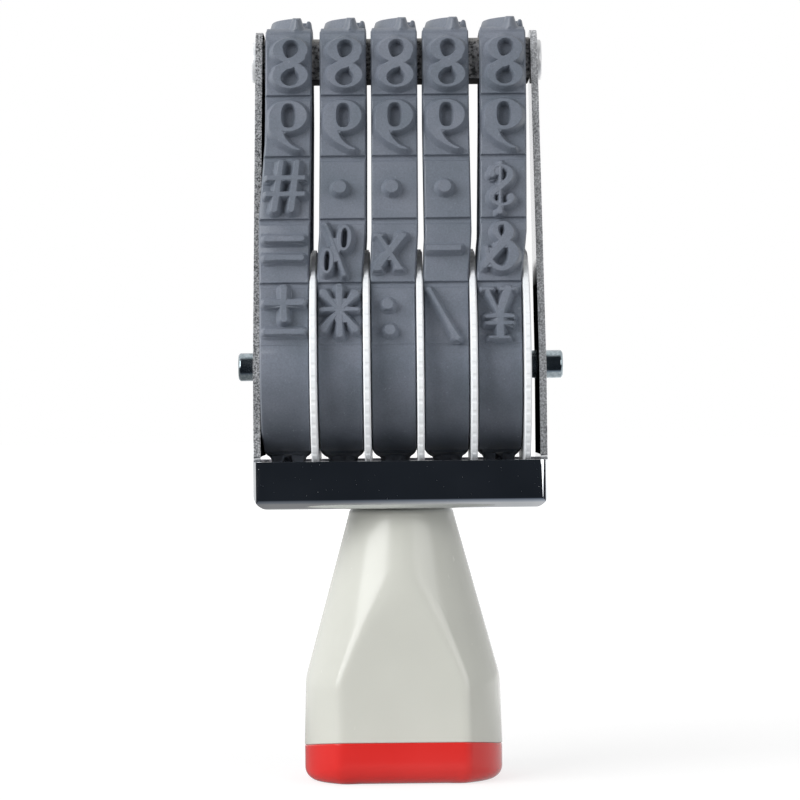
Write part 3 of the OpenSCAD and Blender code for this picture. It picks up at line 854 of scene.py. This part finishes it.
def outer_surface(lane):
    """A band's fourteen characters and bare block, welded at their seams: x, s, height and triangles."""
    parts = [(patch_for(SIGNS[k][lane - 1] if k in SIGNS else str(7 + k), k), k * PITCH) for k in CELLS]
    parts.append((bare_patch(), BARE_START + BARE_LEN / 2))
    counts = np.cumsum([0] + [len(patch[0]) for patch, _ in parts])
    x = np.concatenate([patch[0] for patch, _ in parts])
    s = np.concatenate([patch[1] + at for patch, at in parts])
    h = np.concatenate([patch[2] for patch, _ in parts])
    tri = np.concatenate([patch[3] + count for (patch, _), count in zip(parts, counts)])
    around = np.round(((s - LOOP_START) % LOOP_LEN) / WELD).astype(int) % int(round(LOOP_LEN / WELD))
    key = {}
    merged = np.arange(len(x))
    for k, spot in enumerate(zip(np.round(x / WELD).astype(int), around)):
        merged[k] = key.setdefault(spot, k)
    tri = merged[tri]
    tri = tri[(tri[:, 0] != tri[:, 1]) & (tri[:, 1] != tri[:, 2]) & (tri[:, 0] != tri[:, 2])]
    used, tri = np.unique(tri, return_inverse=True)
    return x[used], s[used], h[used], tri.reshape(-1, 3)


def closed_surface(x, s, h, tri):
    """The outer surface with the sides and the inside of the carrier: x, s, height and faces."""
    order = np.argsort((s - LOOP_START) % LOOP_LEN)
    left = [k for k in order if x[k] < -HALF_W + MERGE]
    right = [k for k in order if x[k] > HALF_W - MERGE]
    n, m = len(x), len(left)
    steps = [(k, (k + 1) % m) for k in range(m)]
    faces = [tuple(t) for t in tri]
    faces += [(left[k], left[nxt], n + nxt, n + k) for k, nxt in steps]
    faces += [(right[nxt], right[k], n + m + k, n + m + nxt) for k, nxt in steps]
    faces += [(n + k, n + nxt, n + m + nxt, n + m + k) for k, nxt in steps]
    x = np.concatenate([x, x[left], x[right]])
    s = np.concatenate([s, s[left], s[right]])
    return x, s, np.concatenate([h, np.zeros(2 * m)]), faces


def type_band(lane):
    """One endless band. Above the discs nothing guides it, so it lies wider and to one side."""
    x, s, h, faces = closed_surface(*outer_surface(lane))
    y, z = path_points(s, h)
    lo, hi = box_mm(f"number_band_{lane}")
    wider = 1 + np.interp(z, [FREE_Z, FREE_Z + FREE_FADE], [0.0, FREE_WIDER])
    x = x * wider + np.interp(z, SWAY_Z, SWAY[lane - 1])
    if lane == 1:
        x = x - np.interp(z, SPREAD_Z, [SPREAD, 0.0]) * np.clip(0.5 - x / (2 * HALF_W), 0, 1)
    verts = np.column_stack([x + (lo.x + hi.x) / 2, y, z])
    band = new_object(f"type_band_{lane}", verts, faces, RUBBER, "stamp")
    band.data.set_sharp_from_angle(angle=SHARP)
    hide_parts(f"number_band_{lane}")


for lane in LANES:
    type_band(lane)

# ---------------------------------------------------------------- metal and wheels with softened edges

# Edges sharper than this are softened, and faces nearer to one plane than this are one face
SOFTENED = math.radians(32.0)
LEVEL = math.radians(0.6)
# The yoke's slots after the plating: the arms' sheared edges on the left and the right, the arms' inner faces,
# which carry painted shade, and the back lip's inner face, which carries a painted reflection. The platen's
# second slot is its underside, which is painted black as shade.
LEFT_EDGE, RIGHT_EDGE, INNER_FACE, LIP_INSIDE = range(1, 5)
UNDERSIDE = 1
# Above this height, a little over the lips, all faces of the yoke are an arm's
ARM_Z = 50.5
# A disc's radius, the depth of its notches, the radius below which nothing moves, and the share of the notches'
# depth that wear has left
DISC_R = 18.2
NOTCH_DEPTH = 0.25
NOTCH_FOOT_R = 17.2
WORN = 0.5


def softened(node, name, material, body, width):
    """A node's shape with its sharp edges rounded a little, so that they catch the light as real ones do."""
    mesh = frame["nodes"][node].data.copy()
    mesh.name = name
    mesh.materials.clear()
    mesh.materials.append(material)
    bm = bmesh.new()
    bm.from_mesh(mesh)
    bmesh.ops.remove_doubles(bm, verts=bm.verts, dist=1e-6)
    bmesh.ops.dissolve_limit(bm, angle_limit=LEVEL, verts=bm.verts, edges=bm.edges)
    sharp = [e for e in bm.edges if e.is_manifold and e.calc_face_angle(0.0) > SOFTENED]
    bmesh.ops.bevel(bm, geom=sharp, offset=width * MM, segments=2, profile=0.5, affect="EDGES",
                    clamp_overlap=True, harden_normals=False)
    bmesh.ops.triangulate(bm, faces=[f for f in bm.faces if len(f.verts) > 4])
    for f in bm.faces:
        f.smooth = True
    bm.to_mesh(mesh)
    bm.free()
    mesh.validate()
    obj = placed(name, mesh, body)
    area_weighted_normals(obj)
    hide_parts(node)
    return obj


def worn_notches(wheel):
    """Move the points between a disc's notches and its rim outwards, so that the notches are shallower."""
    rim = [NOTCH_FOOT_R, DISC_R - NOTCH_DEPTH, DISC_R]
    worn_rim = [NOTCH_FOOT_R, DISC_R - NOTCH_DEPTH * WORN, DISC_R]
    for vert in wheel.data.vertices:
        y, z = vert.co.y / MM, vert.co.z / MM - AXLE_Z
        r = math.hypot(y, z)
        if r > NOTCH_FOOT_R:
            worn_r = np.interp(r, rim, worn_rim)
            vert.co.y = y * worn_r / r * MM
            vert.co.z = (AXLE_Z + z * worn_r / r) * MM
    area_weighted_normals(wheel)


yoke = softened("yoke", "pressed_yoke", CHROME, "stamp", 0.14)
for finish in (SHEARED, EDGE, ARM_INNER_SHADE, LIP_PAINTED_REFLECTION):
    yoke.data.materials.append(finish)
for face in yoke.data.polygons:
    if face.center.z < ARM_Z * MM:
        # The back lip's inner face takes the painted reflection
        if face.normal.y < -0.7 and face.center.y > 0:
            face.material_index = LIP_INSIDE
    elif abs(face.normal.x) < 0.45:
        face.material_index = LEFT_EDGE if face.center.x < 0 else RIGHT_EDGE
    elif face.normal.x * face.center.x < 0:
        face.material_index = INNER_FACE
bar = softened("platen", "printing_bar", BAR, "stamp", 0.10)
bar.data.materials.append(BAR_UNDERSIDE_SHADE)
# The platen's underside takes the painted shade
for face in bar.data.polygons:
    if face.normal.z < -0.5:
        face.material_index = UNDERSIDE
softened("platen_rivets", "bar_rivets", RIVET, "stamp", 0.12)
softened("axle", "wheel_axle", PIN, "stamp", 0.10)
for lane in LANES:
    worn_notches(softened(
        f"number_wheel_{lane}", f"thumb_wheel_{lane}", WHITE, f"wheel_{lane}", 0.05))
softened("base_screw", "tray_screw", SCREW, "stamp", 0.08)
softened("base_washer", "tray_washer", SCREW, "stamp", 0.06)

# ---------------------------------------------------------------- handle and cap

GRIP_LO, GRIP_HI = box_mm("handle")
GRIP_W = GRIP_HI.x - GRIP_LO.x
GRIP_D = GRIP_HI.y - GRIP_LO.y
CAP_H = GRIP_LO.z
BASE_Z = GRIP_HI.z
# How much the grip's sides and flats draw in up to its top, how high its straight foot is, and how softly that
# goes over into the flare
GRIP_DRAFT = 0.9
GRIP_STRAIGHT = 9.3
FLARE_SOFT = 0.3
NECK_R = 8.25
NECK_EDGE_R = 1.2
# The hollow in the grip's foot, and the cap's plug in it
WALL = 2.0
HOLLOW_H = 4.2
PLUG_H = 3.0
PLUG_GAP = 0.35
# Radius of the cap's lower edge, and how much tighter it is at its two round ends
CAP_EDGE_R = 3.5
CAP_END_TIGHTER = 1.6
# How far the round sides and the flats melt into each other
EDGE_SOFT = 0.75
# How far the joint between grip and cap dips at the two ends, how softly, and the radius of its two edges
JOINT_DIP = 1.25
JOINT_SOFT = 2.0
JOINT_R = 0.22
# Share of a ring's size at which it closes an end, angles round the handle, and angles of a quarter bend
TIP = 0.02
ANGLES = np.linspace(0, 2 * math.pi, 432, endpoint=False)
QUARTER = math.pi / 2


def soft_min(a, b, k):
    """The lower of two values, with a soft change over the width k."""
    h = np.maximum(k - np.abs(a - b), 0) / k
    return np.minimum(a, b) - h * h * k * 0.25


def flatted(radius, half_d):
    """Distance from the middle to the outline of a round body with a flat front and back."""
    to_flat = half_d / np.maximum(np.abs(np.sin(ANGLES)), 1e-3)
    return soft_min(np.broadcast_to(radius, ANGLES.shape), to_flat, EDGE_SOFT)


def joint_z():
    """Height of the joint between grip and cap, which dips towards the two ends."""
    y = flatted(GRIP_W / 2, GRIP_D / 2) * np.sin(ANGLES)
    rise = (np.sqrt(y * y + JOINT_SOFT ** 2) - JOINT_SOFT) / (math.hypot(GRIP_D / 2, JOINT_SOFT) - JOINT_SOFT)
    return CAP_H - JOINT_DIP * (1 - np.clip(rise, 0, 1))


def grip_outline(z, inset=0.0):
    """The grip's outline at a height, or at a height for each angle."""
    flare_top = BASE_Z - NECK_EDGE_R
    flare_foot = CAP_H + GRIP_STRAIGHT
    draft = GRIP_DRAFT * (z - CAP_H) / (BASE_Z - CAP_H)
    straight = GRIP_W / 2 - draft
    foot_r = GRIP_W / 2 - GRIP_DRAFT * GRIP_STRAIGHT / (BASE_Z - CAP_H)
    cone = NECK_R + (foot_r - NECK_R) * (flare_top - z) / (flare_top - flare_foot)
    return flatted(soft_min(straight, cone, FLARE_SOFT) - inset, GRIP_D / 2 - draft - inset)


def grip_rings():
    """Rings from the hollow's top over the foot's edge, the outside and the neck to the top."""
    flare_top = BASE_Z - NECK_EDGE_R
    hollow_top = CAP_H + HOLLOW_H
    foot = joint_z()
    hollow = grip_outline(hollow_top, WALL)
    rings = [(hollow * TIP, hollow_top), (hollow, hollow_top), (grip_outline(foot, WALL), foot)]
    for a in np.linspace(0, QUARTER, 5):
        rings.append((grip_outline(foot, JOINT_R * (1 - math.sin(a))), foot + JOINT_R * (1 - math.cos(a))))
    for u in np.linspace(0, 1, 110)[1:]:
        z = foot + JOINT_R + (flare_top - foot - JOINT_R) * u
        rings.append((grip_outline(z), z))
    top = grip_outline(flare_top)
    for a in np.linspace(0, QUARTER, 8)[1:]:
        rings.append((top - NECK_EDGE_R * (1 - math.cos(a)), flare_top + NECK_EDGE_R * math.sin(a)))
    rings.append((top * TIP, BASE_Z))
    return rings


def cap_outline(inset):
    return flatted(GRIP_W / 2 - inset, GRIP_D / 2 - inset)


def cap_rings():
    """Rings from the cap's end over its lower edge, its side and the joint's edge to the plug's top."""
    edge_r = CAP_EDGE_R - CAP_END_TIGHTER * np.clip((np.abs(np.cos(ANGLES)) - 0.6) / 0.35, 0, 1)
    top = joint_z()
    rings = [(cap_outline(5.0) * TIP, 0.0)]
    for a in np.linspace(0, QUARTER, 14):
        rings.append((cap_outline(edge_r * (1 - math.sin(a))), edge_r * (1 - math.cos(a))))
    for u in np.linspace(0, 1, 9)[1:]:
        rings.append((cap_outline(0.0), edge_r + (top - JOINT_R - edge_r) * u))
    for a in np.linspace(0, QUARTER, 5)[1:]:
        rings.append((cap_outline(JOINT_R * (1 - math.cos(a))), top - JOINT_R * (1 - math.sin(a))))
    plug = cap_outline(WALL + PLUG_GAP)
    rings += [(plug, top), (plug, CAP_H + PLUG_H), (plug * TIP, CAP_H + PLUG_H)]
    return rings


def loft(name, rings, material, body):
    """Closed skin over rings, each the radii by angle and the height."""
    verts, faces = [], []
    count = len(ANGLES)
    for radii, z in rings:
        verts.extend(zip(radii * np.cos(ANGLES), radii * np.sin(ANGLES), np.broadcast_to(z, ANGLES.shape)))
    for low in range(0, (len(rings) - 1) * count, count):
        for k in range(count):
            nxt = (k + 1) % count
            faces.append((low + k, low + nxt, low + count + nxt, low + count + k))
    faces.append(tuple(range(count))[::-1])
    faces.append(tuple(range(len(verts) - count, len(verts))))
    obj = new_object(name, verts, faces, material, body)
    area_weighted_normals(obj)
    return obj


grip = loft("grip_shell", grip_rings(), GRIP, "stamp")
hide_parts("handle")
cap = loft("red_cap", cap_rings(), RED, "stamp")
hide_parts("handle_cap")

# ---------------------------------------------------------------- floor, light and camera

# Half the floor's width, and how bright the camera sees it under the object, where 1 is white
FLOOR_HALF = 4.0
FLOOR_GLOW = 0.76
# Where the floor's reflection goes over from the unlit front to the lit rest, and the dark front's tinge
NEAR_Y = (-0.055, -0.02)
DARK_TINGE = (0.83, 1.0, 1.28)
# What mirrors see of the studio: it is dark in front of the object, behind the camera, and light elsewhere
STUDIO_DARK = (0.017, 0.0205, 0.0262)
STUDIO_LIGHT = (0.88, 0.88, 0.88)
WHITE_LIGHT = (1.0, 1.0, 1.0)


def stage_material():
    """White floor that takes the object's shadow. Mirrors see it pale near and behind the object, and dark in
    front, where the studio is unlit."""
    material, n = new_material("studio_floor")
    where = n.place()
    spot = n.split(where)
    path = n.add("ShaderNodeLightPath")
    seen = n.seen(path)
    away = n.add("ShaderNodeVectorMath", {0: where}, operation="LENGTH").outputs["Value"]
    lift = n.levels(away, 0.05, 0.40, FLOOR_GLOW, 1.0)
    glow = n.add("ShaderNodeEmission", {"Color": (1, 1, 1, 1), "Strength": n.math("MULTIPLY", seen, lift)})
    tint = n.ramp(n.noise(where, 3.0), [(0.3, (0.29, 0.29, 0.29)), (0.7, (0.30, 0.30, 0.30))])
    bounce = n.levels(spot["Y"], -0.30, -0.05, 0.10, 0.72)
    matte = n.add("ShaderNodeBsdfDiffuse", {"Color": n.mix(seen, bounce, tint)})
    both = n.add("ShaderNodeAddShader", {0: glow, 1: matte})
    near = n.levels(spot["Y"], *NEAR_Y, 0.0205, 0.28)
    right = n.levels(spot["X"], -0.015, 0.03, 0.0, 1.0)
    extra = n.math("MULTIPLY", n.levels(spot["Y"], *NEAR_Y, 0.0, 0.5), right)
    behind = n.levels(spot["Y"], 0.05, 0.15, 0.0, 0.62)
    tinge = n.mix(n.levels(spot["Y"], *NEAR_Y, 0.0, 1.0), DARK_TINGE, WHITE_LIGHT)
    strength = n.math("ADD", n.math("ADD", near, extra), behind)
    mirrored = n.add("ShaderNodeEmission", {"Color": tinge, "Strength": strength})
    chosen = n.add("ShaderNodeMixShader", {0: path.outputs["Is Glossy Ray"], 1: both, 2: mirrored})
    n.add("ShaderNodeOutputMaterial", {"Surface": chosen})
    return material


def light_world():
    """White to the camera, and a soft light from all sides but the front, stronger from the left."""
    world = bpy.data.worlds.new("studio")
    bpy.context.scene.world = world
    world.use_nodes = True
    n = Nodes(world)
    path = n.add("ShaderNodeLightPath")
    direction = n.split(n.add("ShaderNodeTexCoord").outputs["Generated"])
    mirrored = n.mix(n.levels(direction["Y"], -0.45, -0.05, 0.0, 1.0), STUDIO_DARK, STUDIO_LIGHT)
    around = n.levels(direction["Y"], -0.88, -0.45, 0.12, 1.0)
    leftward = n.levels(direction["X"], -0.6, 0.6, 0.66, 0.42)
    soft = n.math("MULTIPLY", around, leftward)
    ambient = n.mix(path.outputs["Is Glossy Ray"], soft, mirrored)
    sky = n.add("ShaderNodeBackground", {"Color": n.mix(n.seen(path), ambient, WHITE_LIGHT), "Strength": 1.0})
    n.add("ShaderNodeOutputWorld", {"Surface": sky})


def area_light(name, place, target, size, power):
    """Soft lamp at a place in metres that looks at a target."""
    lamp = bpy.data.lights.new(name, "AREA")
    lamp.shape = "RECTANGLE"
    lamp.size, lamp.size_y = size
    lamp.energy = power
    obj = bpy.data.objects.new(name, lamp)
    bpy.context.scene.collection.objects.link(obj)
    obj.location = place
    obj.rotation_euler = (Vector(target) - Vector(place)).to_track_quat("-Z", "Y").to_euler()


floor_mesh = bpy.data.meshes.new("studio_floor")
corners = [(x * FLOOR_HALF, y * FLOOR_HALF, 0) for x, y in ((-1, -1), (1, -1), (1, 1), (-1, 1))]
floor_mesh.from_pydata(corners, [], [(0, 1, 2, 3)])
floor_mesh.materials.append(stage_material())
floor = bpy.data.objects.new("studio_floor", floor_mesh)
bpy.context.scene.collection.objects.link(floor)

light_world()
area_light("key", (-0.60, -0.50, 0.38), (0, 0, 0.07), (0.66, 0.66), 7.0)
area_light("fill", (0.55, -0.60, 0.20), (0, 0, 0.06), (0.55, 0.60), 2.3)

# The photograph was taken half a metre away, level with the stamp's middle, and a little turned
CAMERA_Y = -0.5
CAMERA_Z = 0.0592
FOCAL_PIXELS = 3185.0
FRAME_PIXELS = 800.0
SENSOR = 36.0
ROLL = math.radians(0.6)
camera_data = bpy.data.cameras.new("photo_camera")
camera_data.sensor_width = SENSOR
camera_data.lens = SENSOR * FOCAL_PIXELS / FRAME_PIXELS
camera_data.clip_start = 0.01
camera_data.dof.use_dof = False
camera = bpy.data.objects.new("photo_camera", camera_data)
bpy.context.scene.collection.objects.link(camera)
camera.matrix_world = (Matrix.Translation((0, CAMERA_Y, CAMERA_Z)) @ Matrix.Rotation(math.pi / 2, 4, "X")
                       @ Matrix.Rotation(-ROLL, 4, "Z"))
bpy.context.scene.camera = camera
bpy.context.scene.view_settings.view_transform = "Standard"
